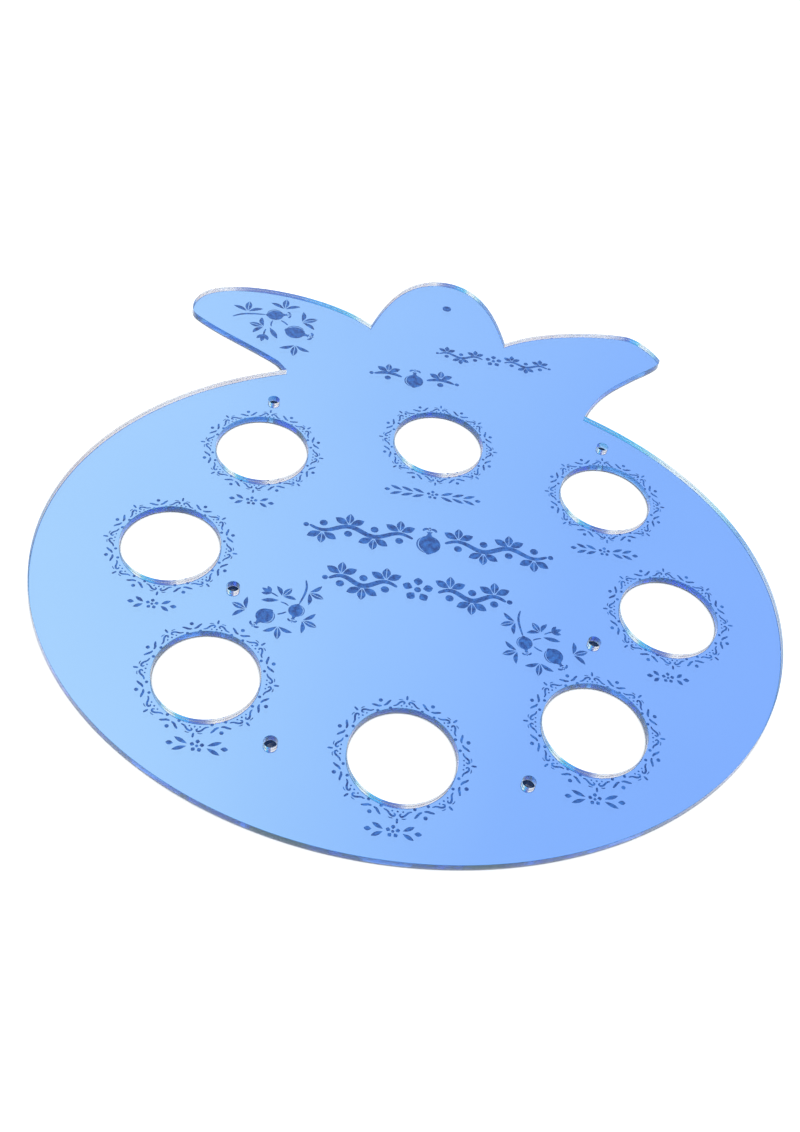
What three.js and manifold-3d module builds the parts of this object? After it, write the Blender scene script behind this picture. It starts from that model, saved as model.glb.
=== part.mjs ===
// Rosh Hashanah plate: one flat sheet of mirrored acrylic, cut as a pomegranate with a
// three-lobed crown, with eight round holes that bowls hang in and six small leg bores.
// The sheet has three layers: clear acrylic on top, a mirror coat behind it and paint
// behind that. The ornament is a set of windows in the mirror coat.
// Millimetres, +Z up, +Y from the body to the crown, origin under the centre of the box.

import * as THREE from "three";
import { mergeVertices } from "three/addons/utils/BufferGeometryUtils.js";
import Module from "manifold-3d";

// Layers, from the top down
const clearThickness = 2.8;
const coatThickness = 0.1;
const paintThickness = 0.1;

// Body: an ellipse
const bodyHalfWidth = 151.2;
const bodyHalfDepth = 129.1;

// Crown, measured from the top of the body: x to the right, y upwards
const crownHeight = 74.4;
const domeTopX = 2.8;
const domeShoulder = 20.5;
const notchLeft = [-31.7, 29.7];
const notchRight = [34.7, 30.2];
const leftTipUpper = [-113.2, 39.1];
const leftTipLower = [-115.5, 18.1];
const leftFoot = [-72.3, -8.3];
const rightBrow = [96.0, 50.7];
const rightTip = [113.0, 35.4];
const rightFoot = [98.0, 18.6];
const rightHeel = [73.0, -17.1];
const crownRootDepth = 40;
const crownRootHalfWidth = 45;

// Bowl holes: angle round the ellipse in degrees, and the centre's distance in from the rim
const bowlRadius = 20;
const bowlHoles = {
  right: { angle: -2.9, inset: 46.7 },
  upperRight: { angle: 44.7, inset: 40.6 },
  top: { angle: 87.0, inset: 48.6 },
  upperLeft: { angle: 130.5, inset: 46.6 },
  left: { angle: 181.5, inset: 53.0 },
  lowerLeft: { angle: 229.6, inset: 43.1 },
  bottom: { angle: 270.8, inset: 42.1 },
  lowerRight: { angle: 309.8, inset: 43.0 },
};

// Leg bores: four along the rim, and one beside each of the two side holes
const boreRadius = 2.5;
const rimBores = [
  { angle: 54.3, inset: 13.7 },
  { angle: 121.6, inset: 19.1 },
  { angle: 248.3, inset: 32.9 },
  { angle: 292.1, inset: 29.9 },
];
const sideBores = [
  { hole: "left", fromEdge: 13.6, heading: -33.0 },
  { hole: "right", fromEdge: 16.8, heading: 211.7 },
];

// Ornament round a bowl hole: each distance is measured outwards from the hole's edge
const ringRepeats = 8;
const chevronInner = 3.0;
const chevronRise = 1.4;
const chevronHalfSpan = 3.3;
const chevronStroke = 0.9;
const beadDistance = 5.4;
const beadRadius = 0.75;
const curlInner = 1.9;
const curlRise = 2.4;
const curlHalfSpan = 4.7;
const curlGap = 1.2;
const curlStroke = 0.9;
const tickDistance = 5.0;
const tickLength = 1.7;
const tickWidth = 0.8;

// Sprigs: fruit, leaves and stem, drawn about the larger fruit
const largeFruitRadius = 5.0;
const smallFruitRadius = 4.2;
const fruitStep = [-11.2, 11.4];
const leafLength = 6.6;
const leafWidth = 2.3;
const leafSpread = 58;
const leafGap = 1.6;
const stemWidth = 0.9;
const crownSprigPlace = [-67.6, 16.9];
const bodySprigScale = 0.78;
const bodySprigTurn = -112.7;
const leftSprigStep = [29.5, 1.2];
const rightSprigStep = [-31.0, 1.9];

// Round mark engraved in the dome
const domeMarkX = 4.8;
const domeMarkBelowTop = 20.6;
const domeMarkRadius = 2.2;

// Fineness of the curves
const ellipseSteps = 48;
const bowlSteps = 40;
const boreSteps = 16;
const beadSteps = 6;
const fruitSteps = 14;
const crownSteps = 10;

const wasm = await Module();
wasm.setup();

const fullTurn = 2 * Math.PI;
const radians = THREE.MathUtils.degToRad;

// A closed geometry with its shared corners merged, as a solid that can be cut and joined
function toSolid(geometry) {
  geometry.deleteAttribute("normal");
  geometry.deleteAttribute("uv");
  const merged = mergeVertices(geometry);
  const mesh = new wasm.Mesh({
    numProp: 3,
    vertProperties: merged.attributes.position.array,
    triVerts: new Uint32Array(merged.index.array),
  });
  return new wasm.Manifold(mesh);
}

function toGeometry(solid) {
  const mesh = solid.getMesh();
  const geometry = new THREE.BufferGeometry();
  geometry.setAttribute("position", new THREE.BufferAttribute(mesh.vertProperties, 3));
  geometry.setIndex(new THREE.BufferAttribute(mesh.triVerts, 1));
  geometry.computeVertexNormals();
  return geometry;
}

// A flat-topped prism of a plan shape, from the height bottom upwards
function prism(shape, bottom, height, steps) {
  const options = { depth: height, bevelEnabled: false, curveSegments: steps };
  return toSolid(new THREE.ExtrudeGeometry(shape, options).translate(0, 0, bottom));
}

function polygon(points) {
  return new THREE.Shape(points.map(([x, y]) => new THREE.Vector2(x, y)));
}

// The point that lies inset in from the rim, square to it, at an angle round the body's ellipse
function rimPoint({ angle, inset }) {
  const turn = radians(angle);
  const rim = new THREE.Vector2(bodyHalfWidth * Math.cos(turn), bodyHalfDepth * Math.sin(turn));
  const outward = new THREE.Vector2(Math.cos(turn) / bodyHalfWidth, Math.sin(turn) / bodyHalfDepth);
  return rim.addScaledVector(outward.normalize(), -inset);
}

function bodyShape() {
  const shape = new THREE.Shape();
  shape.absellipse(0, 0, bodyHalfWidth, bodyHalfDepth, 0, fullTurn);
  return shape;
}

// The crown's two leaves and its dome, closed by a root that lies inside the body
function crownShape() {
  const at = ([x, y]) => [x, bodyHalfDepth + y];
  const domeTop = [domeTopX, crownHeight];
  const shape = new THREE.Shape();
  shape.moveTo(...at([-crownRootHalfWidth, -crownRootDepth]));
  shape.lineTo(...at(leftFoot));
  shape.bezierCurveTo(...at([-87.1, 1.7]), ...at([-102.7, 7.9]), ...at(leftTipLower));
  shape.bezierCurveTo(...at([-120.2, 21.8]), ...at([-120.0, 33.4]), ...at(leftTipUpper));
  shape.bezierCurveTo(...at([-98.0, 51.9]), ...at([-52.0, 47.4]), ...at(notchLeft));
  const domeLeft = [domeTopX - domeShoulder, crownHeight];
  const domeRight = [domeTopX + domeShoulder, crownHeight];
  shape.bezierCurveTo(...at([-26.5, 48.9]), ...at(domeLeft), ...at(domeTop));
  shape.bezierCurveTo(...at(domeRight), ...at([31.0, 46.4]), ...at(notchRight));
  shape.bezierCurveTo(...at([50.0, 43.9]), ...at([80.0, 51.2]), ...at(rightBrow));
  shape.bezierCurveTo(...at([103.5, 50.4]), ...at([111.0, 40.4]), ...at(rightTip));
  shape.bezierCurveTo(...at([113.2, 30.9]), ...at([103.5, 23.9]), ...at(rightFoot));
  shape.bezierCurveTo(...at([90.0, 10.4]), ...at([80.5, 3.4]), ...at(rightHeel));
  shape.lineTo(...at([crownRootHalfWidth, -crownRootDepth]));
  shape.closePath();
  return shape;
}

// The plan centres of all the bowl holes, and of all the leg bores
const bowlCentres = Object.values(bowlHoles).map(rimPoint);
const boreCentres = [...rimBores.map(rimPoint), ...sideBores.map(sideBorePoint)];

function sideBorePoint({ hole, fromEdge, heading }) {
  const turn = radians(heading);
  const reach = bowlRadius + fromEdge;
  const step = new THREE.Vector2(Math.cos(turn), Math.sin(turn));
  return rimPoint(bowlHoles[hole]).addScaledVector(step, reach);
}

// One layer of the sheet: the whole outline with every hole and bore through it
function layer(thickness) {
  const body = prism(bodyShape(), 0, thickness, ellipseSteps);
  const crown = prism(crownShape(), 0, thickness, crownSteps);
  const drill = (outline) => prism(polygon(outline), -thickness, 3 * thickness, 1);
  const holes = bowlCentres.map((c) => drill(circleOutline([c.x, c.y], bowlRadius, bowlSteps)));
  const bores = boreCentres.map((c) => drill(circleOutline([c.x, c.y], boreRadius, boreSteps)));
  return [...holes, ...bores].reduce((sheet, cutter) => sheet.subtract(cutter), body.add(crown));
}

// Turns a plan point about the origin and then moves it
function placed([x, y], turn, centre) {
  const c = Math.cos(turn);
  const s = Math.sin(turn);
  return [centre.x + c * x - s * y, centre.y + s * x + c * y];
}

function circleOutline([x, y], radius, steps) {
  return Array.from({ length: steps }, (_, i) => {
    const turn = (fullTurn * i) / steps;
    return [x + radius * Math.cos(turn), y + radius * Math.sin(turn)];
  });
}

// Marks of the ring round a hole, drawn with +Y as the outward direction
function chevronOutline() {
  const tip = bowlRadius + chevronInner;
  const end = tip + chevronRise;
  const blunt = chevronStroke / 2;
  return [
    [0, tip],
    [chevronHalfSpan, end - blunt],
    [chevronHalfSpan, end + blunt],
    [0, tip + chevronStroke],
    [-chevronHalfSpan, end + blunt],
    [-chevronHalfSpan, end - blunt],
  ];
}

function curlOutline(side) {
  const low = bowlRadius + curlInner;
  const high = low + curlRise;
  const middle = (curlHalfSpan + curlGap) / 2;
  return [
    [side * curlHalfSpan, low],
    [side * curlGap, high - curlStroke],
    [side * curlGap, high],
    [side * middle, (low + high) / 2 + curlStroke],
  ];
}

function tickOutline() {
  const start = bowlRadius + tickDistance;
  return barOutline([0, start], [0, start + tickLength], tickWidth);
}

function ringMarks(centre) {
  const pitch = fullTurn / ringRepeats;
  const curls = [curlOutline(1), curlOutline(-1), tickOutline()];
  const chevrons = [
    chevronOutline(),
    circleOutline([0, bowlRadius + beadDistance], beadRadius, beadSteps),
  ];
  const turned = (outlines, turn) => outlines.map((o) => o.map((p) => placed(p, turn, centre)));
  return Array.from({ length: ringRepeats }, (_, i) => [
    ...turned(curls, i * pitch),
    ...turned(chevrons, (i + 0.5) * pitch),
  ]).flat();
}

// A plan point that lies a share of the way from one end to the other, and off to one side
function beside(from, to, share, offset) {
  const along = new THREE.Vector2(to[0] - from[0], to[1] - from[1]);
  const across = new THREE.Vector2(-along.y, along.x).normalize();
  return [
    from[0] + share * along.x + offset * across.x,
    from[1] + share * along.y + offset * across.y,
  ];
}

// A pointed leaf from its base to its tip
function leafOutline(base, tip, width) {
  const full = width / 2;
  const slim = 0.35 * width;
  return [
    base,
    beside(base, tip, 0.35, -full),
    beside(base, tip, 0.7, -slim),
    tip,
    beside(base, tip, 0.7, slim),
    beside(base, tip, 0.35, full),
  ];
}

// A bar with square ends between two plan points
function barOutline(from, to, width) {
  const half = width / 2;
  return [
    beside(from, to, 0, half),
    beside(from, to, 0, -half),
    beside(from, to, 1, -half),
    beside(from, to, 1, half),
  ];
}

// Three leaves that fan out round a point, each starting a gap away from it
function leafFan(point, heading) {
  return [-1, 0, 1].map((side) => {
    const turn = radians(heading + side * leafSpread);
    const at = (reach) => [point[0] + reach * Math.cos(turn), point[1] + reach * Math.sin(turn)];
    return leafOutline(at(leafGap), at(leafGap + leafLength), leafWidth);
  });
}

// A fruit with its neck and, past a small gap, the petal across the neck's end
function fruit([x, y], radius) {
  const neckEnd = x + 1.35 * radius;
  const petalX = x + 1.85 * radius;
  const petalReach = 0.6 * radius;
  return [
    circleOutline([x, y], radius, fruitSteps),
    barOutline([x + 0.9 * radius, y], [neckEnd, y], 0.4 * radius),
    leafOutline([petalX, y - petalReach], [petalX, y + petalReach], 0.4 * radius),
  ];
}

// A pomegranate sprig about its larger fruit, with the stem running off to the left
function sprigMarks() {
  const [smallX, smallY] = fruitStep;
  return [
    ...fruit([0, 0], largeFruitRadius),
    ...fruit(fruitStep, smallFruitRadius),
    barOutline([smallX - 19.7, smallY - 6.5], [smallX - 11.2, smallY - 2.9], stemWidth),
    barOutline([smallX - 11.2, smallY - 2.9], [smallX - smallFruitRadius + 0.4, smallY - 1.4], stemWidth),
    barOutline([smallX + 3.3, smallY - 4.0], [smallX + 6.8, smallY - 6.5], stemWidth),
    barOutline([smallX - 0.8, smallY - 5.2], [smallX - 0.8, smallY - 9], stemWidth),
    leafOutline([-12, 0.2], [-8.2, -6.4], 0.6 * leafWidth),
    leafOutline([-14.6, -3], [-14.9, -9], leafWidth),
    ...leafFan([-7.4, 16.9], 90),
    ...leafFan([-24.9, 10.9], 91),
    ...leafFan([2.1, 8.7], 28),
    ...leafFan([1.3, -9.8], 270),
    ...leafFan([-15.4, 0.9], 168),
  ];
}

// A sprig moved to its centre, at a scale and turned by degrees; flip is -1 for a mirror image
function sprigAt(centre, scale, degrees, flip) {
  const turn = radians(flip * degrees);
  const move = ([x, y]) => placed([flip * scale * x, scale * y], turn, centre);
  return sprigMarks().map((outline) => outline.map(move));
}

// The sprig a step inwards from the middle between a side hole and the hole below it
function bodySprig(sideHole, lowerHole, step, flip) {
  const middle = rimPoint(sideHole).add(rimPoint(lowerHole)).multiplyScalar(0.5);
  const centre = middle.add(new THREE.Vector2(...step));
  return sprigAt(centre, bodySprigScale, bodySprigTurn, flip);
}

// Every window in the mirror coat, as a plan outline
function ornament() {
  const [crownX, crownY] = crownSprigPlace;
  const domeMark = [domeMarkX, bodyHalfDepth + crownHeight - domeMarkBelowTop];
  return [
    ...bowlCentres.flatMap(ringMarks),
    ...sprigAt(new THREE.Vector2(crownX, bodyHalfDepth + crownY), 1, 0, 1),
    ...bodySprig(bowlHoles.left, bowlHoles.lowerLeft, leftSprigStep, 1),
    ...bodySprig(bowlHoles.right, bowlHoles.lowerRight, rightSprigStep, -1),
    circleOutline(domeMark, domeMarkRadius, fruitSteps),
  ];
}

function clearSheet() {
  return layer(clearThickness);
}

function mirrorCoat() {
  const cutters = ornament().map((o) => prism(polygon(o), -coatThickness, 3 * coatThickness, 1));
  const windows = cutters.reduce((all, cutter) => all.add(cutter));
  return layer(coatThickness).subtract(windows);
}

function backPaint() {
  return layer(paintThickness);
}

function piece(name, solid, bottom, look) {
  const mesh = new THREE.Mesh(toGeometry(solid), new THREE.MeshStandardMaterial(look));
  mesh.name = name;
  mesh.position.z = bottom;
  return mesh;
}

const clearLook = {
  color: 0xd9ecff,
  roughness: 0.05,
  metalness: 0,
  transparent: true,
  opacity: 0.25,
};
const mirrorLook = { color: 0x9cc4f5, roughness: 0.04, metalness: 1 };
const paintLook = { color: 0x3c5f9e, roughness: 0.6, metalness: 0 };

const coatBottom = paintThickness;
const clearBottom = coatBottom + coatThickness;

const plate = new THREE.Group();
plate.add(piece("clear_sheet", clearSheet(), clearBottom, clearLook));
plate.add(piece("mirror_coat", mirrorCoat(), coatBottom, mirrorLook));
plate.add(piece("back_paint", backPaint(), 0, paintLook));
plate.position.y = -crownHeight / 2;

const model = new THREE.Group();
model.add(plate);

export default model;
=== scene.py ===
"""The looks of a mirrored acrylic holiday plate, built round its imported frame.

Lengths are millimetres on the plate's own plan: its origin is the centre of the oval body,
+X is to the right and +Y is towards the crown. metres() takes them to the frame.
"""

import math

import bpy
from mathutils import Matrix, Vector
from mathutils.geometry import delaunay_2d_cdt


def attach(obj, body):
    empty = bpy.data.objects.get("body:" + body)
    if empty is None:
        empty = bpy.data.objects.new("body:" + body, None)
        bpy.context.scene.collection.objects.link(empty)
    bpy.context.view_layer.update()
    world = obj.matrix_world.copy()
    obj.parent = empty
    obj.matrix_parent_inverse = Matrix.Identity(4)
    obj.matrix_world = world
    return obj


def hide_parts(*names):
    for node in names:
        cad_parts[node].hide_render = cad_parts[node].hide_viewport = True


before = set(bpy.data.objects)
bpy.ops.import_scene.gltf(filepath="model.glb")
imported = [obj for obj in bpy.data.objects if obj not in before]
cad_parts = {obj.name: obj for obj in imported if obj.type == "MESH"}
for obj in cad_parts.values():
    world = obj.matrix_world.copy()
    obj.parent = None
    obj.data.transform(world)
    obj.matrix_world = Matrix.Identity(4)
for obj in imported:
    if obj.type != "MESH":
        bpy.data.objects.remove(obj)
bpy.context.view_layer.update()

MM = 0.001
FULL_TURN = 2 * math.pi

# Heights of the layers
TOP = 3.0
SLAB_BOTTOM = 0.16
FILM_TOP = 0.2
FILM_BOTTOM = 0.1
MARK_TOP = 0.18
EDGE_ROUND = 0.16
# The cut burns the thin film back from every edge by this much
FILM_INSET = 0.12

# Plan of the sheet, as in the solids
BODY_HALF_WIDTH = 151.2
BODY_HALF_DEPTH = 129.1
CROWN_HEIGHT = 74.4
PLAN_SHIFT = -CROWN_HEIGHT / 2
DOME_TOP_X = 2.8
DOME_SHOULDER = 20.5
BOWL_RADIUS = 20.0
BORE_RADIUS = 2.5
BOWL_HOLES = {
    "right": (-2.9, 46.7),
    "upper_right": (44.7, 40.6),
    "top": (87.0, 48.6),
    "upper_left": (130.5, 46.6),
    "left": (181.5, 53.0),
    "lower_left": (229.6, 43.1),
    "bottom": (270.8, 42.1),
    "lower_right": (309.8, 43.0),
}
RIM_BORES = [(54.3, 13.7), (121.6, 19.1), (248.3, 32.9), (292.1, 29.9)]
SIDE_BORES = [("left", 13.6, -33.0), ("right", 16.8, 211.7)]

# Fineness of the curves
OVAL_STEPS = 360
CURVE_STEPS = 48
HOLE_STEPS = 128
BORE_STEPS = 48


def metres(x, y, z):
    return (x * MM, (y + PLAN_SHIFT) * MM, z * MM)


def polar(radius, degrees, centre=(0.0, 0.0)):
    turn = math.radians(degrees)
    return (centre[0] + radius * math.cos(turn), centre[1] + radius * math.sin(turn))


# Outline of the sheet


def rim_point(degrees, inset):
    """The point that lies inset in from the oval's rim, square to it."""
    turn = math.radians(degrees)
    rim = Vector((BODY_HALF_WIDTH * math.cos(turn), BODY_HALF_DEPTH * math.sin(turn)))
    outward = Vector((math.cos(turn) / BODY_HALF_WIDTH, math.sin(turn) / BODY_HALF_DEPTH))
    point = rim - inset * outward.normalized()
    return (point.x, point.y)


def bezier(start, near, far, end):
    """Points of a cubic curve, without its start."""
    points = []
    for i in range(1, CURVE_STEPS + 1):
        t = i / CURVE_STEPS
        s = 1 - t
        weights = (s**3, 3 * s * s * t, 3 * s * t * t, t**3)
        corners = (start, near, far, end)
        points.append(tuple(sum(w * c[k] for w, c in zip(weights, corners)) for k in (0, 1)))
    return points


def crown_path():
    """The crown from its left root to its right root, over the top."""
    left_tip_lower = (-115.5, 18.1)
    left_tip_upper = (-113.2, 39.1)
    notch_left = (-31.7, 29.7)
    dome_top = (DOME_TOP_X, CROWN_HEIGHT)
    dome_left = (DOME_TOP_X - DOME_SHOULDER, CROWN_HEIGHT)
    dome_right = (DOME_TOP_X + DOME_SHOULDER, CROWN_HEIGHT)
    notch_right = (34.7, 30.2)
    right_brow = (96.0, 50.7)
    right_tip = (113.0, 35.4)
    right_foot = (98.0, 18.6)
    right_heel = (73.0, -17.1)
    path = [(-45.0, -40.0), (-72.3, -8.3)]
    path += bezier(path[-1], (-87.1, 1.7), (-102.7, 7.9), left_tip_lower)
    path += bezier(left_tip_lower, (-120.2, 21.8), (-120.0, 33.4), left_tip_upper)
    path += bezier(left_tip_upper, (-98.0, 51.9), (-52.0, 47.4), notch_left)
    path += bezier(notch_left, (-26.5, 48.9), dome_left, dome_top)
    path += bezier(dome_top, dome_right, (31.0, 46.4), notch_right)
    path += bezier(notch_right, (50.0, 43.9), (80.0, 51.2), right_brow)
    path += bezier(right_brow, (103.5, 50.4), (111.0, 40.4), right_tip)
    path += bezier(right_tip, (113.2, 30.9), (103.5, 23.9), right_foot)
    path += bezier(right_foot, (90.0, 10.4), (80.5, 3.4), right_heel)
    path.append((45.0, -40.0))
    return [(x, BODY_HALF_DEPTH + y) for x, y in path]


def sheet_outline():
    """The oval and the crown as one closed loop, counterclockwise."""

    def outside(point):
        return (point[0] / BODY_HALF_WIDTH) ** 2 + (point[1] / BODY_HALF_DEPTH) ** 2 > 1

    def crossing(inner, outer):
        for _ in range(40):
            middle = ((inner[0] + outer[0]) / 2, (inner[1] + outer[1]) / 2)
            if outside(middle):
                outer = middle
            else:
                inner = middle
        return inner

    path = crown_path()
    kept = [i for i, point in enumerate(path) if outside(point)]
    left = crossing(path[kept[0] - 1], path[kept[0]])
    right = crossing(path[kept[-1] + 1], path[kept[-1]])
    crown = [left] + [path[i] for i in kept] + [right]

    def turn_of(point):
        return math.atan2(point[1] / BODY_HALF_DEPTH, point[0] / BODY_HALF_WIDTH)

    first = turn_of(left)
    span = (turn_of(right) - first) % FULL_TURN
    oval = []
    for i in range(1, OVAL_STEPS):
        turn = first + span * i / OVAL_STEPS
        oval.append((BODY_HALF_WIDTH * math.cos(turn), BODY_HALF_DEPTH * math.sin(turn)))
    return crown[::-1] + oval


def circle(centre, radius, steps):
    return [polar(radius, 360 * i / steps, centre) for i in range(steps)]


bowl_centres = {name: rim_point(*place) for name, place in BOWL_HOLES.items()}
bore_centres = [rim_point(*place) for place in RIM_BORES]
for hole, from_edge, heading in SIDE_BORES:
    bore_centres.append(polar(BOWL_RADIUS + from_edge, heading, bowl_centres[hole]))

outline = sheet_outline()
cut_outs = [circle(c, BOWL_RADIUS, HOLE_STEPS) for c in bowl_centres.values()]
cut_outs += [circle(c, BORE_RADIUS, BORE_STEPS) for c in bore_centres]


# Engraved marks: each is one closed loop, or a list of them


def smooth(points, steps):
    """A curve through the points."""
    padded = [points[0], *points, points[-1]]
    curve = [points[0]]
    for a, b, c, d in zip(padded, padded[1:], padded[2:], padded[3:]):
        for i in range(1, steps + 1):
            t = i / steps
            place = []
            for k in (0, 1):
                run = c[k] - a[k]
                bend = 2 * a[k] - 5 * b[k] + 4 * c[k] - d[k]
                twist = 3 * b[k] - a[k] - 3 * c[k] + d[k]
                place.append(b[k] + 0.5 * t * (run + t * (bend + t * twist)))
            curve.append(tuple(place))
    return curve


def stroke(points, width, ends=0.45, steps=4):
    """A pen stroke through the points, fullest in its middle, with rounded ends."""
    curve = [Vector(p) for p in smooth(points, steps)]
    last = len(curve) - 1
    left, right = [], []
    for i, point in enumerate(curve):
        along = (curve[min(i + 1, last)] - curve[max(i - 1, 0)]).normalized()
        across = Vector((-along.y, along.x))
        share = ends + (1 - ends) * math.sin(math.pi * i / last) ** 0.6
        half = 0.5 * width * share
        if i == 0:
            left.append(point - 0.7 * half * along)
        left.append(point + half * across)
        right.append(point - half * across)
        if i == last:
            left.append(point + 0.7 * half * along)
    return [tuple(p) for p in right + left[::-1]]


def dot(x, y, radius, steps=14):
    return circle((x, y), radius, steps)


def leaf_profile(t):
    """Half width of a leaf along its length, as a share of the greatest."""
    return math.sin(math.pi * t**1.1) ** 0.9


def leaf(base, tip, width, bend=0.0, vein=0.0, steps=9):
    """A pointed leaf. With a vein it is two halves with a strip left between them."""
    base, tip = Vector(base), Vector(tip)
    along = tip - base
    across = Vector((-along.y, along.x)).normalized()

    def side(sign, inner):
        points = []
        for i in range(steps + 1):
            t = i / steps
            spine = base + t * along + bend * math.sin(math.pi * t) * across
            half = 0.5 * width * leaf_profile(t)
            if inner:
                half = min(half, 0.5 * vein)
            points.append(tuple(spine + sign * half * across))
        return points

    if not vein:
        return [side(-1, False) + side(1, False)[-2:0:-1]]
    halves = []
    for sign in (-1, 1):
        outer = side(sign, False)
        inner = side(sign, True)[1:-1]
        halves.append(outer + inner[::-1])
    return halves


def fan(point, heading, length=7.7):
    """Three leaves from a point: a full one with a vein, and a slim one on each side."""
    spread, gap, width = 57, 0.5, 3.3
    loops = leaf(
        polar(gap, heading, point), polar(gap + 1.02 * length, heading, point), width, vein=0.36
    )
    for sign in (-1, 1):
        turn = heading + sign * spread
        loops += leaf(
            polar(gap, turn, point),
            polar(gap + length, turn + sign * 6, point),
            0.68 * width,
            bend=-sign * 0.6,
        )
    return loops


def fruit(centre, radius, heading):
    """A pomegranate: body with a light arc on one side, neck and the petals of its crown."""

    def at(reach, side):
        turn = math.radians(heading)
        x, y = reach * radius, side * radius
        return (
            centre[0] + x * math.cos(turn) - y * math.sin(turn),
            centre[1] + x * math.sin(turn) + y * math.cos(turn),
        )

    def round_at(reach, degrees):
        turn = math.radians(degrees)
        return at(reach * math.cos(turn), reach * math.sin(turn))

    arc_middle, arc_half = 106, 66
    body = []
    for i in range(60):
        degrees = 6 * i
        reach = 1 + 0.14 * math.exp(-(((degrees - 180) / 14) ** 2))
        off = abs(degrees - arc_middle)
        if off < arc_half:
            reach -= 0.17 * math.cos(math.radians(90 * off / arc_half)) ** 0.5
        body.append(round_at(reach, degrees))
    edge = [round_at(0.99, arc_middle + off) for off in range(-60, 61, 10)]
    line = stroke(edge, 0.13 * radius, 0.3, 1)
    neck = [at(0.85, -0.36), at(1.12, -0.19), at(1.3, -0.15), at(1.48, -0.28)]
    neck += [at(1.48, 0.28), at(1.3, 0.15), at(1.12, 0.19), at(0.85, 0.36)]
    petals = [
        stroke([at(1.56, 0.56), at(1.76, 0.4), at(1.82, 0.14)], 0.26 * radius),
        stroke([at(1.58, 0.05), at(1.94, 0.0), at(1.58, -0.06)], 0.2 * radius),
        stroke([at(1.82, -0.16), at(1.76, -0.42), at(1.54, -0.6)], 0.26 * radius),
    ]
    return [body, line, neck, *petals]


def sprig():
    """The pomegranate sprig about its larger fruit, with the stem running off to the left."""
    stems = (
        ([(-31.2, 5.6), (-27.4, 8.2), (-22.4, 9.7), (-16.0, 10.5)], 1.2),
        ([(-7.9, 7.6), (-6.0, 6.4), (-4.3, 4.7)], 0.95),
        ([(-11.9, 6.6), (-12.3, 4.4), (-12.0, 2.0)], 0.8),
        ([(-14.2, -0.8), (-14.6, -3.6), (-14.5, -6.0)], 0.85),
    )
    leaves = (
        ((-12.5, 0.8), (-7.8, -6.9), 2.5),
        ((-14.9, -5.0), (-17.5, -8.7), 2.1),
        ((-14.5, -5.4), (-15.0, -10.6), 2.1),
        ((-14.1, -4.8), (-12.0, -9.2), 2.1),
    )
    fans = (((-7.4, 16.9), 90), ((-24.9, 10.9), 91), ((2.1, 8.7), 28), ((1.3, -9.8), 270))
    loops = fruit((-0.1, 0.1), 4.7, -12) + fruit((-11.3, 11.4), 4.0, 13)
    loops += [stroke(points, width) for points, width in stems]
    for base, tip, width in leaves:
        loops += leaf(base, tip, width)
    for point, heading in fans:
        loops += fan(point, heading)
    loops += fan((-15.4, 0.9), 168, length=6.8)
    return loops


def moved(loops, centre, scale=1.0, degrees=0.0, flip=1):
    """Loops scaled, mirrored if flip is -1, turned and carried to a centre."""
    turn = math.radians(flip * degrees)
    c, s = math.cos(turn), math.sin(turn)
    out = []
    for loop in loops:
        placed = []
        for x, y in loop:
            x, y = flip * scale * x, scale * y
            placed.append((centre[0] + c * x - s * y, centre[1] + s * x + c * y))
        out.append(placed)
    return out


def ring():
    """The ring of marks round a bowl hole, about its centre: curls with chevrons between them."""
    repeats = 8
    pitch = 360 / repeats
    edge = BOWL_RADIUS
    hook = [(4.9, 1.7), (3.7, 2.2), (2.5, 3.6), (1.4, 4.1), (0.8, 3.5), (1.3, 2.9)]
    shoot = [(3.1, 4.6), (2.4, 4.9), (1.5, 4.9)]
    arm = [(0.45, 2.95), (1.6, 3.2), (2.6, 3.9), (3.7, 4.5)]
    curl = []
    for side in (-1, 1):
        curl.append(stroke([(side * x, edge + y) for x, y in hook], 0.8, steps=3))
        curl.append(dot(side * 1.9, edge + 2.1, 0.36, 8))
        curl.append(stroke([(side * x, edge + y) for x, y in shoot], 0.42, steps=2))
    curl.append(dot(0, edge + 2.2, 0.4, 8))
    curl.append(stroke([(0, edge + 5.0), (0, edge + 5.8), (0, edge + 6.7)], 0.85, 0.7, 2))
    chevron = [dot(0, edge + 5.4, 0.78)]
    for side in (-1, 1):
        chevron.append(stroke([(side * x, edge + y) for x, y in arm], 0.95, steps=3))
        chevron.append(dot(side * 2.45, edge + 1.25, 0.62, 12))
    loops = []
    for k in range(repeats):
        loops += moved(curl, (0, 0), 1, k * pitch)
        loops += moved(chevron, (0, 0), 1, (k + 0.5) * pitch)
    return loops


def flower(radius):
    """A round blossom: a dot with petals about it."""
    petals = 5
    loops = [dot(0, 0, 0.22 * radius, 10)]
    for k in range(petals):
        turn = 90 + 360 * k / petals
        loops += leaf(polar(0.34 * radius, turn), polar(radius, turn), 0.58 * radius, steps=7)
    return loops


def leaf_group(point, heading, length, vein):
    """Three leaves from one point, the middle one with a vein."""
    loops = []
    for turn, share in ((0, 1.0), (60, 1.06), (-60, 1.06)):
        base = polar(0.1 * length, heading + turn, point)
        tip = polar(share * length, heading + turn, point)
        loops += leaf(base, tip, 0.52 * length, vein=0 if turn else vein, steps=8)
    return loops


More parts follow.
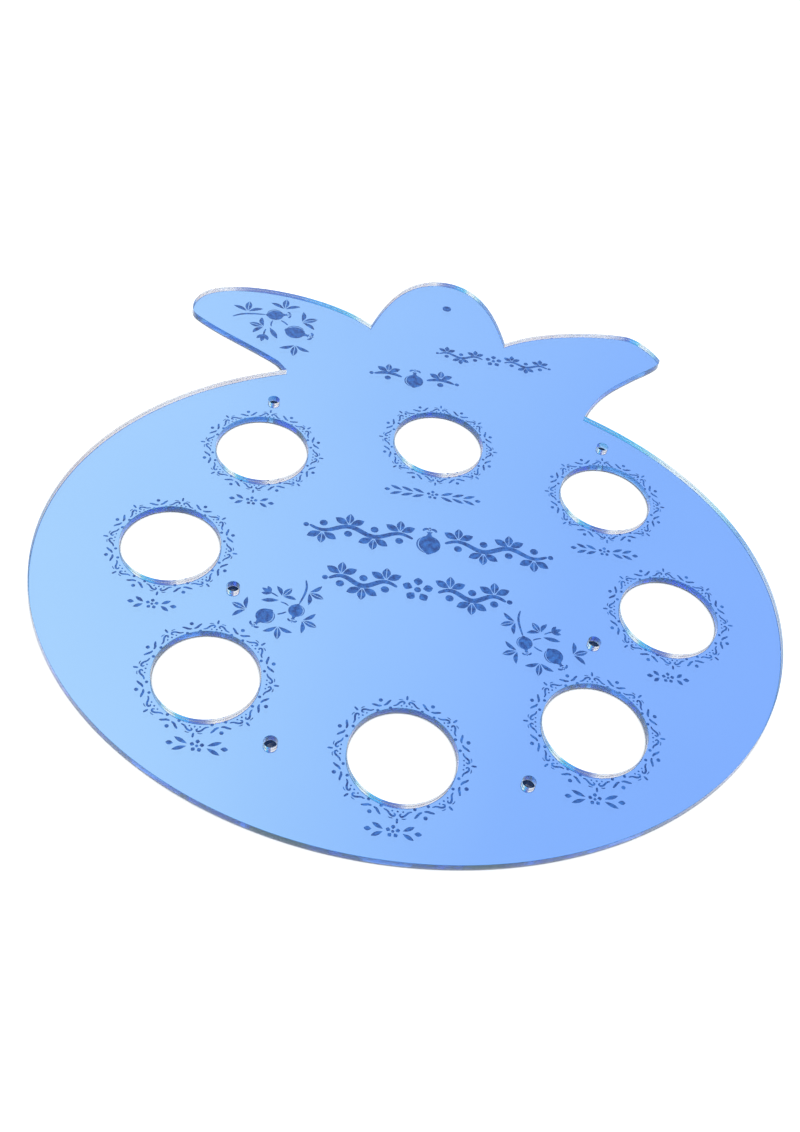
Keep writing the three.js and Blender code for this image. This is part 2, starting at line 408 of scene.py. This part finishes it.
def vine(width, height, waves, with_fruit):
    """A leafy vine that runs out to both sides of a fruit or a blossom."""
    if with_fruit:
        radius = 0.29 * height
        middle = fruit((0, -0.12 * height), radius, 90)
    else:
        radius = 0.38 * height
        middle = flower(radius)
    start = radius + 0.12 * height
    run = width / 2 - 0.14 * height - start
    vein = 0.3 if height > 14 else 0

    def stem(share):
        return (start + share * run, 0.11 * height * math.sin(math.pi * waves * share))

    steps = 4 * waves
    right = [stroke([stem(i / steps) for i in range(steps + 1)], 0.14 * height, steps=3)]
    for k in range(waves):
        up = 1 if k % 2 == 0 else -1
        x, y = stem((k + 0.5) / waves)
        right += leaf_group((x, y + up * 0.05 * height), up * 90, 0.39 * height, vein)
        right.append(dot(x, y - up * 0.24 * height, 0.1 * height, 12))
    end = stem(1)
    right.append(dot(end[0] + 0.1 * height, end[1], 0.07 * height, 12))
    left = [[(-x, y) for x, y in loop] for loop in right]
    return middle + right + left


def spray(width, height):
    """A small ornament: a blossom with pairs of leaves to both sides."""
    half = width / 2
    first = 0.5 * height + 0.8
    room = half - first - 3.0
    pairs = max(1, round(room / 4.6))
    pitch = room / pairs
    loops = flower(0.5 * height)
    for side in (-1, 1):
        for k in range(pairs):
            near = first + k * pitch
            for up in (-1, 1):
                base = (side * near, up * 0.09 * height)
                tip = (side * (near + 1.1 * pitch), up * 0.5 * height)
                loops += leaf(base, tip, 0.3 * height, steps=7)
        loops += leaf((side * (half - 2.7), 0), (side * half, 0), 0.34 * height, steps=7)
    return loops


def midpoint(a, b):
    return ((a[0] + b[0]) / 2, (a[1] + b[1]) / 2)


# The sprig on the crown's left leaf, from the middle of the oval's top
LEAF_SPRIG = (-67.6, 16.9)
# Inner sprigs: the two holes that each lies between, its place from halfway, and -1 if mirrored
INNER_SPRIGS = [
    ("left", "lower_left", (29.5, 1.2), 1),
    ("right", "lower_right", (-31.0, 1.9), -1),
]
INNER_SPRIG_SCALE = 0.78
INNER_SPRIG_TURN = -112.7
# The round mark on the dome, down from the crown's top
DOME_MARK_X = 4.8
DOME_MARK_DROP = 20.6
DOME_MARK_RADIUS = 2.2
# Vines: centre, width, height, waves to each side, and whether a fruit is in the middle
VINES = [
    ((29.5, 146.0), 56, 11, 3, False),
    ((-8.0, 124.0), 42, 15, 1, True),
    ((5.0, 20.0), 104, 17, 4, True),
    ((2.0, -7.5), 76, 17, 3, False),
]
# Sprays: centre, width and height
SPRAYS = [
    ((5.0, 47.5), 42, 5.4),
    ((-70.5, 29.0), 19, 5.2),
    ((79.5, 28.0), 29, 5.2),
    ((-99.0, -33.0), 19, 5.2),
    ((102.0, -35.0), 17, 5.2),
    ((-70.5, -93.5), 22, 5.4),
    ((71.0, -94.0), 22, 5.2),
    ((0.5, -117.0), 20, 5.2),
]


def engraving():
    """Every engraved loop on the plate."""
    loops = []
    for centre in bowl_centres.values():
        loops += moved(ring(), centre)
    motif = sprig()
    loops += moved(motif, (LEAF_SPRIG[0], BODY_HALF_DEPTH + LEAF_SPRIG[1]))
    for hole, other, place, flip in INNER_SPRIGS:
        halfway = midpoint(bowl_centres[hole], bowl_centres[other])
        centre = (halfway[0] + place[0], halfway[1] + place[1])
        loops += moved(motif, centre, INNER_SPRIG_SCALE, INNER_SPRIG_TURN, flip)
    mark_y = BODY_HALF_DEPTH + CROWN_HEIGHT - DOME_MARK_DROP
    loops.append(dot(DOME_MARK_X, mark_y, DOME_MARK_RADIUS, steps=28))
    for centre, width, height, waves, with_fruit in VINES:
        loops += moved(vine(width, height, waves, with_fruit), centre)
    for centre, width, height in SPRAYS:
        loops += moved(spray(width, height), centre)
    return loops


# Meshes from plan loops

# Corners closer than this are one
WELD = 1e-5
# Edges that turn more than this look sharp
SHARP_DEGREES = 32


def counterclockwise(loop):
    area = sum(a[0] * b[1] - b[0] * a[1] for a, b in zip(loop, loop[1:] + loop[:1]))
    return loop if area > 0 else loop[::-1]


def triangles(loops):
    """Triangles of the plan that the loops make.

    It gives the corners, the input points that each corner comes from, and each triangle with
    the numbers of the loops that it lies in.
    """
    points, rings = [], []
    for loop in loops:
        rings.append(list(range(len(points), len(points) + len(loop))))
        points += [Vector(p) for p in counterclockwise(loop)]
    inside_only = 1
    made = delaunay_2d_cdt(points, [], rings, inside_only, WELD, True)
    corners, faces, source, inside = made[0], made[2], made[3], made[5]
    return [tuple(c) for c in corners], source, list(zip(faces, inside))


def new_object(name, points, faces, slots, looks):
    """A mesh object in the scene. Walls are smooth and in slot 1, flat faces in slot 0."""
    mesh = bpy.data.meshes.new(name)
    mesh.from_pydata(points, [], faces)
    for look in looks:
        mesh.materials.append(look)
    mesh.validate()
    mesh.set_sharp_from_angle(angle=math.radians(SHARP_DEGREES))
    for polygon, slot in zip(mesh.polygons, slots):
        polygon.material_index = min(slot, len(looks) - 1)
        polygon.use_smooth = slot == 1
    made = bpy.data.objects.new(name, mesh)
    bpy.context.scene.collection.objects.link(made)
    return made


def extruded(corners, faces, bottom, top):
    """Closed prism of plan triangles: its points, its faces and which of them are walls."""
    used = sorted({i for face in faces for i in face})
    place = {i: k for k, i in enumerate(used)}
    count = len(used)
    points = [metres(*corners[i], bottom) for i in used]
    points += [metres(*corners[i], top) for i in used]
    made, walls = [], []
    open_edges = {}
    for face in faces:
        ids = [place[i] for i in face]
        made.append(ids[::-1])
        made.append([i + count for i in ids])
        walls += [0, 0]
        for a, b in zip(ids, ids[1:] + ids[:1]):
            if (b, a) in open_edges:
                del open_edges[(b, a)]
            else:
                open_edges[(a, b)] = True
    for a, b in open_edges:
        made.append([a, b, b + count, a + count])
        walls.append(1)
    return points, made, walls


def layer(name, corners, faces, bottom, top, look):
    """One thin closed layer of the laminate from plan triangles."""
    points, made, walls = extruded(corners, faces, bottom, top)
    return new_object(name, points, made, walls, [look])


def offset(loop, distance):
    """A counterclockwise loop moved inwards by a distance."""
    out = []
    for i, point in enumerate(loop):
        here = Vector(point)
        before = (here - Vector(loop[i - 1])).normalized()
        after = (Vector(loop[(i + 1) % len(loop)]) - here).normalized()
        first = Vector((-before.y, before.x))
        middle = (first + Vector((-after.y, after.x))).normalized()
        out.append(tuple(here + middle * distance / max(0.4, middle.dot(first))))
    return out


def slab(name, loops, bottom, top, rounding, looks):
    """The sheet with a small round on its top edges. The first loop is the outline."""
    # Each step of the wall, as shares of the rounding: how far inwards, and how far below the top
    steps = [(0.0, 1.4), (0.0, 1.0), (0.3, 0.3), (1.0, 0.0)]
    points, faces, slots = [], [], []

    def ring_at(loop, z):
        start = len(points)
        points.extend(metres(x, y, z) for x, y in loop)
        return list(range(start, start + len(loop)))

    def wall(low, high, outer):
        for i in range(len(low)):
            j = (i + 1) % len(low)
            quad = [low[i], low[j], high[j], high[i]]
            faces.append(quad if outer else quad[::-1])
            slots.append(1)

    def cap(rings, loop_points, up):
        flat = [i for one in rings for i in one]
        _, source, made = triangles(loop_points)
        for face, inside in made:
            if inside != [0]:
                continue
            ids = [flat[source[i][0]] for i in face]
            faces.append(ids if up else ids[::-1])
            slots.append(0)

    lowest, tops, top_loops = [], [], []
    for k, loop in enumerate(loops):
        outer = k == 0
        below = ring_at(loop, bottom)
        lowest.append(below)
        for inward, drop in steps:
            distance = inward * rounding if outer else -inward * rounding
            moved_loop = offset(loop, distance)
            above = ring_at(moved_loop, top - drop * rounding)
            wall(below, above, outer)
            below = above
        tops.append(below)
        top_loops.append(moved_loop)
    cap(lowest, loops, False)
    cap(tops, top_loops, True)
    return new_object(name, points, faces, slots, looks)


# Materials


def node_helpers(tree):
    """Two functions for a node tree: one adds a node, the other a colour ramp."""

    def add(kind, inputs=None, **settings):
        node = tree.nodes.new("ShaderNode" + kind)
        for key, value in settings.items():
            setattr(node, key, value)
        for key, value in (inputs or {}).items():
            if isinstance(value, bpy.types.NodeSocket):
                tree.links.new(value, node.inputs[key])
            else:
                node.inputs[key].default_value = value
        return node

    def ramp(source, stops):
        node = add("ValToRGB", {"Fac": source})
        elements = node.color_ramp.elements
        while len(elements) < len(stops):
            elements.new(0.5)
        for element, (place, colour) in zip(elements, stops):
            element.position = place
            element.color = (*colour, 1)
        return node.outputs["Color"]

    return add, ramp


def material(name):
    """A new node material with its shader, and helpers to add and join nodes."""
    made = bpy.data.materials.new(name)
    made.use_nodes = True
    shader = made.node_tree.nodes["Principled BSDF"]
    add, ramp = node_helpers(made.node_tree)

    def link(source, socket):
        made.node_tree.links.new(source, shader.inputs[socket])

    return made, shader, add, ramp, link


def see_through_shadows(made, shader, add):
    """Lets light through the clear acrylic to what lies under it, a little bluer."""
    tree = made.node_tree
    path = add("LightPath")
    clear = add("BsdfTransparent", {"Color": (0.93, 0.96, 0.98, 1)})
    mix = add(
        "MixShader", {0: path.outputs["Is Shadow Ray"], 1: shader.outputs[0], 2: clear.outputs[0]}
    )
    tree.links.new(mix.outputs[0], tree.nodes["Material Output"].inputs["Surface"])


ACRYLIC_IOR = 1.49


def face_material():
    """The polished face: clear, with a faint haze of smudges."""
    made, shader, add, ramp, link = material("acrylic_face")
    shader.inputs["Base Color"].default_value = (0.985, 0.993, 1.0, 1)
    shader.inputs["Transmission Weight"].default_value = 1
    shader.inputs["IOR"].default_value = ACRYLIC_IOR
    where = add("TexCoord").outputs["Object"]
    smudge = add("TexNoise", {"Vector": where, "Scale": 26, "Detail": 5, "Roughness": 0.62})
    haze = add(
        "MapRange",
        {"Value": smudge.outputs["Fac"], "From Min": 0.5, "From Max": 0.78, "To Max": 0.035},
    )
    link(haze.outputs["Result"], "Roughness")
    see_through_shadows(made, shader, add)
    return made


# Painted light and shade on the cut edge, by height: from its foot, which is the palest, to its
# upper part, which is dark blue
EDGE_PAINTED_LIGHT_BY_HEIGHT = [
    (0.0, (0.76, 0.87, 0.94)),
    (0.25, (0.52, 0.72, 0.84)),
    (0.5, (0.31, 0.57, 0.76)),
    (0.75, (0.25, 0.52, 0.73)),
]


def wall_material():
    """The cut edge: partly frosted, with fine upright lines from the cut. Its colour by height and
    the blue tint of its reflections are painted light and shade.
    """
    made, shader, add, ramp, link = material("acrylic_edge")
    # Painted reflection: a blue tint on the edge's reflections
    shader.inputs["Specular Tint"].default_value = (0.3, 0.6, 1.0, 1)
    shader.inputs["Transmission Weight"].default_value = 0.8
    shader.inputs["IOR"].default_value = ACRYLIC_IOR
    where = add("TexCoord").outputs["Object"]
    level = add("SeparateXYZ", {"Vector": where}).outputs["Z"]
    share = add("MapRange", {"Value": level, "From Min": SLAB_BOTTOM * MM, "From Max": TOP * MM})
    # Painted light and shade: colour by height, pale at the foot and dark blue above
    link(ramp(share.outputs["Result"], EDGE_PAINTED_LIGHT_BY_HEIGHT), "Base Color")
    stretched = add("Mapping", {"Vector": where, "Scale": (1, 1, 0.06)})
    lines = add(
        "TexNoise", {"Vector": stretched.outputs[0], "Scale": 1500, "Detail": 2, "Roughness": 0.5}
    )
    patches = add("TexNoise", {"Vector": where, "Scale": 90, "Detail": 3}).outputs["Fac"]
    rough = add(
        "MapRange",
        {"Value": patches, "From Min": 0.35, "From Max": 0.7, "To Min": 0.03, "To Max": 0.14},
    )
    link(rough.outputs["Result"], "Roughness")
    bump = add("Bump", {"Height": lines.outputs["Fac"], "Strength": 0.18, "Distance": 0.00012})
    link(bump.outputs["Normal"], "Normal")
    see_through_shadows(made, shader, add)
    return made


def film_material():
    """The mirror coat, very slightly wavy. Its blue is a painted reflection: a blue sky as a silver
    mirror shows it, set as the coat's own colour with a slight drift.
    """
    made, shader, add, ramp, link = material("mirror_film")
    shader.inputs["Metallic"].default_value = 1
    shader.inputs["Roughness"].default_value = 0.018
    where = add("TexCoord").outputs["Object"]
    painted_reflection_drift = add("TexNoise", {"Vector": where, "Scale": 7, "Detail": 2})
    # Painted reflection: the blue colour stands in for a blue sky seen in the mirror
    link(
        ramp(painted_reflection_drift.outputs["Fac"], [(0.3, (0.405, 0.645, 0.97)), (0.7, (0.435, 0.67, 0.985))]),
        "Base Color",
    )
    waves = add("TexNoise", {"Vector": where, "Scale": 16, "Detail": 1})
    bump = add("Bump", {"Height": waves.outputs["Fac"], "Strength": 0.06, "Distance": 0.0004})
    link(bump.outputs["Normal"], "Normal")
    return made


def mark_material():
    """The engraved marks: blotched, with the raster of the beam. Their deep blue is painted shade:
    it stands in for the shade under the plate seen through the windows that the beam cut in the
    coat.
    """
    made, shader, add, ramp, link = material("engraved_mark")
    shader.inputs["Roughness"].default_value = 0.62
    where = add("TexCoord").outputs["Object"]
    raster = add(
        "TexWave",
        {"Vector": where, "Scale": 620, "Distortion": 0.6, "Detail": 1, "Detail Scale": 2},
        bands_direction="Y",
    )
    blotch = add("TexNoise", {"Vector": where, "Scale": 460, "Detail": 3, "Roughness": 0.6})
    both = add("Mix", {"Factor": 0.8, "A": raster.outputs["Fac"], "B": blotch.outputs["Fac"]})
    # Painted shade: deep blue for the shade under the plate, seen through the engraved windows
    link(
        ramp(both.outputs["Result"], [(0.43, (0.003, 0.05, 0.25)), (0.57, (0.04, 0.215, 0.65))]),
        "Base Color",
    )
    bump = add("Bump", {"Height": both.outputs["Result"], "Strength": 0.3, "Distance": 0.00005})
    link(bump.outputs["Normal"], "Normal")
    return made


def paint_material():
    """The matt paint on the back, with the grain of a spray."""
    made, shader, add, ramp, link = material("backing_paint")
    where = add("TexCoord").outputs["Object"]
    mist = add("TexNoise", {"Vector": where, "Scale": 14, "Detail": 6, "Roughness": 0.6})
    grain = add("TexNoise", {"Vector": where, "Scale": 1100, "Detail": 3, "Roughness": 0.65})
    link(
        ramp(mist.outputs["Fac"], [(0.3, (0.155, 0.2, 0.27)), (0.7, (0.185, 0.235, 0.31))]),
        "Base Color",
    )
    rough = add("MapRange", {"Value": grain.outputs["Fac"], "To Min": 0.48, "To Max": 0.72})
    link(rough.outputs["Result"], "Roughness")
    bump = add("Bump", {"Height": grain.outputs["Fac"], "Strength": 0.5, "Distance": 0.00006})
    link(bump.outputs["Normal"], "Normal")
    return made


# The plate

sheet_loops = [counterclockwise(loop) for loop in (outline, *cut_outs)]
sheet_corners, _, sheet_plan = triangles(sheet_loops)
sheet_faces = [face for face, inside in sheet_plan if inside == [0]]

film_loops = [offset(sheet_loops[0], FILM_INSET)]
film_loops += [offset(loop, -FILM_INSET) for loop in sheet_loops[1:]]
corners, _, plan = triangles([*film_loops, *engraving()])
# Loop 0 is the outline, then come the cut-outs, and from here on the marks
first_mark = len(film_loops)
film_faces = [face for face, inside in plan if inside == [0]]
mark_faces = [
    face
    for face, inside in plan
    if 0 in inside
    and any(i >= first_mark for i in inside)
    and not any(0 < i < first_mark for i in inside)
]

acrylic = [face_material(), wall_material()]
clear = slab("acrylic_slab", sheet_loops, SLAB_BOTTOM, TOP, EDGE_ROUND, acrylic)
film = layer("mirror_sheet", corners, film_faces, FILM_BOTTOM, FILM_TOP, film_material())
engraved = layer("engraved_marks", corners, mark_faces, FILM_BOTTOM, MARK_TOP, mark_material())
back = layer("painted_back", sheet_corners, sheet_faces, 0.0, FILM_BOTTOM, paint_material())

for piece, slot in (
    (clear, "clear_acrylic"),
    (film, "mirror_film"),
    (engraved, "backing_paint"),
    (back, "backing_paint"),
):
    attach(piece, "root")
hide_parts("clear_sheet")
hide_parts("mirror_coat")
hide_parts("back_paint")


# Camera: places in metres in the frame, angles in degrees, lens and sensor in millimetres

CAMERA_TARGET = (-0.00604, -0.0347, 0.003)
CAMERA_AZIMUTH = -3.577
CAMERA_ELEVATION = 47.474
CAMERA_ROLL = 10.515
CAMERA_DISTANCE = 0.4864
LENS = 38.27
SENSOR = 36


def make_camera():
    """The camera, solved from the oval rim and the round holes in the photo."""
    azimuth, elevation = math.radians(CAMERA_AZIMUTH), math.radians(CAMERA_ELEVATION)
    roll = math.radians(CAMERA_ROLL)
    level = math.cos(elevation)
    back_axis = Vector((math.sin(azimuth) * level, -math.cos(azimuth) * level, math.sin(elevation)))
    level_x = Vector((0, 0, 1)).cross(back_axis).normalized()
    level_y = back_axis.cross(level_x)
    right = math.cos(roll) * level_x + math.sin(roll) * level_y
    up = math.cos(roll) * level_y - math.sin(roll) * level_x
    data = bpy.data.cameras.new("camera")
    data.sensor_fit = "AUTO"
    data.sensor_width = SENSOR
    data.lens = LENS
    data.clip_start = 0.01
    camera = bpy.data.objects.new("camera", data)
    place = Vector(CAMERA_TARGET) + CAMERA_DISTANCE * back_axis
    turned = Matrix((right, up, back_axis)).transposed().to_4x4()
    camera.matrix_world = Matrix.Translation(place) @ turned
    bpy.context.scene.collection.objects.link(camera)
    bpy.context.scene.camera = camera


make_camera()


# Floor and lamps, in metres

FLOOR_HALF = 3.0
FLOOR_LEVEL = -0.0002
FLOOR_GLOW = 0.42
FLOOR_PALE = (0.9, 0.91, 0.92)
PAINTED_BORE_SHADE = (0.01, 0.028, 0.085)
# Painted shade: the camera sees the floor painted dark, without its glow, where walls this near
# leave it less of the sky than BORE_OPEN, as they do in a leg bore, and pale where it has more by
# BORE_FADE
BORE_REACH = 0.008
BORE_OPEN = 0.45
BORE_FADE = 0.14
LAMP_TARGET = (0, -0.02, 0)


def make_floor():
    """A pale floor with a faint glow of its own, just under the plate, and painted shade in the leg
    bores.
    """
    signs = ((-1, -1), (1, -1), (1, 1), (-1, 1))
    square = [(x * FLOOR_HALF, y * FLOOR_HALF, FLOOR_LEVEL) for x, y in signs]
    mesh = bpy.data.meshes.new("floor")
    mesh.from_pydata(square, [], [(0, 1, 2, 3)])
    made, shader, add, ramp, link = material("floor")

    def combined(operation, first, second):
        return add("Math", {0: first, 1: second}, operation=operation).outputs[0]

    sky_share = add("AmbientOcclusion", {"Distance": BORE_REACH}, samples=16).outputs["AO"]
    open_share = add(
        "MapRange", {"Value": sky_share, "From Min": BORE_OPEN, "From Max": BORE_OPEN + BORE_FADE}
    )
    rays = add("LightPath").outputs
    other_rays = combined("SUBTRACT", 1.0, rays["Is Camera Ray"])
    pale = combined("MAXIMUM", open_share.outputs["Result"], other_rays)
    # Painted shade: the floor turns dark blue in the bores, where the walls hide the sky
    link(ramp(pale, [(0, PAINTED_BORE_SHADE), (1, FLOOR_PALE)]), "Base Color")
    shader.inputs["Roughness"].default_value = 0.9
    shader.inputs["Emission Color"].default_value = (1, 1, 1, 1)
    seen = combined("MAXIMUM", rays["Is Camera Ray"], rays["Is Glossy Ray"])
    seen = combined("MAXIMUM", seen, rays["Is Transmission Ray"])
    link(combined("MULTIPLY", combined("MULTIPLY", seen, FLOOR_GLOW), pale), "Emission Strength")
    mesh.materials.append(made)
    floor = bpy.data.objects.new("floor", mesh)
    bpy.context.scene.collection.objects.link(floor)


def make_lamp(name, place, size, watts):
    """A round white soft lamp that mirror and glass don't show."""
    data = bpy.data.lights.new(name, "AREA")
    data.shape = "DISK"
    data.size = size
    data.energy = watts
    lamp = bpy.data.objects.new(name, data)
    lamp.location = place
    aim = Vector(LAMP_TARGET) - Vector(place)
    lamp.rotation_euler = aim.to_track_quat("-Z", "Y").to_euler()
    lamp.visible_glossy = False
    lamp.visible_transmission = False
    bpy.context.scene.collection.objects.link(lamp)


# World

SKY_STRENGTH = 1.02
FILL_STRENGTH = 0.6
FILL_COLOUR = (0.96, 0.98, 1, 1)
# Shares by height above the horizon in degrees: of the sky overhead, of the soft boxes, and of
# the upper row among them
OVERHEAD_SHARE = [(63, 0), (72, 1)]
BOXES_SHARE = [(28, 0), (33, 1), (63, 1), (69, 0)]
HIGH_BOXES_SHARE = [(37, 0), (41, 1)]
# Colours overhead, by the sine of the height
OVERHEAD_SKY = [
    (0.9, (0.70, 0.82, 1.0)),
    (1.0, (0.92, 0.97, 1.0)),
]
# Colours by heading in degrees, where 0 is +X and 90 is +Y: the part of the sky that the field
# shows, then the whole plain sky
FIELD_SKY = [
    (58, (0.51, 0.64, 1.0)),
    (74, (0.55, 0.685, 1.0)),
    (86, (0.66, 0.785, 1.0)),
    (100, (0.80, 0.90, 1.0)),
    (111, (0.88, 0.96, 1.0)),
]
PLAIN_SKY = [
    (-180, (0.76, 0.88, 1.0)),
    (-90, (0.66, 0.80, 1.0)),
    (0, (0.60, 0.74, 1.0)),
    *FIELD_SKY,
    (180, (0.76, 0.88, 1.0)),
]
# Soft boxes by heading: two runs that both rows have, then the lower row and the upper row
LEFT_BOXES = [
    (-180, (1.3, 1.35, 1.0)),
    (-171, (2.0, 1.5, 1.02)),
    (-162, (2.25, 1.6, 1.05)),
    (-156, (1.9, 1.45, 1.0)),
    (-149, (0.6, 1.15, 0.97)),
    (-142, (0.2, 0.82, 0.95)),
    (-119, (0.17, 0.6, 0.97)),
    (-114, (0.2, 0.32, 0.72)),
    (-98, (0.27, 0.25, 0.58)),
    (-84, (0.5, 0.38, 0.6)),
    (-72, (1.3, 0.9, 0.82)),
    (-64, (2.2, 1.4, 0.95)),
    (-50, (2.2, 1.4, 0.95)),
    (-36, (2.0, 1.2, 0.82)),
    (-18, (2.15, 1.38, 0.95)),
    (18, (2.15, 1.3, 0.84)),
    (40, (1.95, 1.12, 0.74)),
]
LAST_BOXES = [
    (174, (0.85, 1.15, 1.0)),
    (180, (1.3, 1.35, 1.0)),
]
LOW_BOXES = [
    *LEFT_BOXES,
    (52, (1.2, 0.95, 0.85)),
    *FIELD_SKY,
    (124, (0.7, 0.68, 0.84)),
    (150, (0.42, 0.48, 0.72)),
    (168, (0.42, 0.6, 0.82)),
    *LAST_BOXES,
]
HIGH_BOXES = [
    *LEFT_BOXES,
    (52, (1.7, 1.1, 0.8)),
    (60, (1.5, 1.08, 0.84)),
    (74, (1.2, 0.96, 0.87)),
    (96, (1.1, 0.94, 0.9)),
    (120, (1.45, 1.1, 0.92)),
    (144, (1.3, 1.08, 0.97)),
    (157, (0.85, 0.9, 0.93)),
    (168, (0.45, 0.68, 0.86)),
    *LAST_BOXES,
]


def make_world():
    """White to the camera, plain fill to matt surfaces and a pale sky to mirror and glass.

    Light that was turned twice, by the film and by an edge of the sheet, sees soft boxes instead.
    """
    world = bpy.data.worlds.new("world")
    bpy.context.scene.world = world
    world.use_nodes = True
    world.node_tree.nodes.clear()
    add, ramp = node_helpers(world.node_tree)
    where = add("TexCoord").outputs["Generated"]
    heading = add("TexGradient", {"Vector": where}, gradient_type="RADIAL").outputs["Fac"]
    height = add("SeparateXYZ", {"Vector": where}).outputs["Z"]
    rays = add("LightPath").outputs

    def by_heading(stops):
        return ramp(heading, [((degrees + 180) / 360, colour) for degrees, colour in stops])

    def by_height(stops):
        return ramp(height, [(math.sin(math.radians(degrees)), (v, v, v)) for degrees, v in stops])

    def blend(share, low, high):
        return add("Mix", {0: share, 6: low, 7: high}, data_type="RGBA").outputs[2]

    def choose(share, low, high):
        return add("MixShader", {0: share, 1: low, 2: high}).outputs[0]

    overhead = ramp(height, OVERHEAD_SKY)
    plain = blend(by_height(OVERHEAD_SHARE), by_heading(PLAIN_SKY), overhead)
    rows = blend(by_height(HIGH_BOXES_SHARE), by_heading(LOW_BOXES), by_heading(HIGH_BOXES))
    boxes = blend(by_height(BOXES_SHARE), plain, rows)
    turned_twice = add("Math", {0: rays["Glossy Depth"], 1: 2, 2: 0.5}, operation="COMPARE")
    sky = blend(turned_twice.outputs[0], plain, boxes)
    bright = add(
        "Math", {0: rays["Is Glossy Ray"], 1: rays["Is Transmission Ray"]}, operation="MAXIMUM"
    )
    fill = add("Background", {"Color": FILL_COLOUR, "Strength": FILL_STRENGTH})
    to_mirror = add("Background", {"Color": sky, "Strength": SKY_STRENGTH})
    to_camera = add("Background", {"Color": (1, 1, 1, 1)})
    to_others = choose(bright.outputs[0], fill.outputs[0], to_mirror.outputs[0])
    whole = choose(rays["Is Camera Ray"], to_others, to_camera.outputs[0])
    add("OutputWorld", {"Surface": whole})


make_floor()
make_lamp("key", (-0.7, -0.5, 1.3), 1.0, 9)
make_lamp("fill", (0.9, 0.4, 1.0), 1.2, 5)
make_world()

scene = bpy.context.scene
scene.view_settings.view_transform = "Standard"
scene.cycles.max_bounces = 32
scene.cycles.glossy_bounces = 24
scene.cycles.transmission_bounces = 24
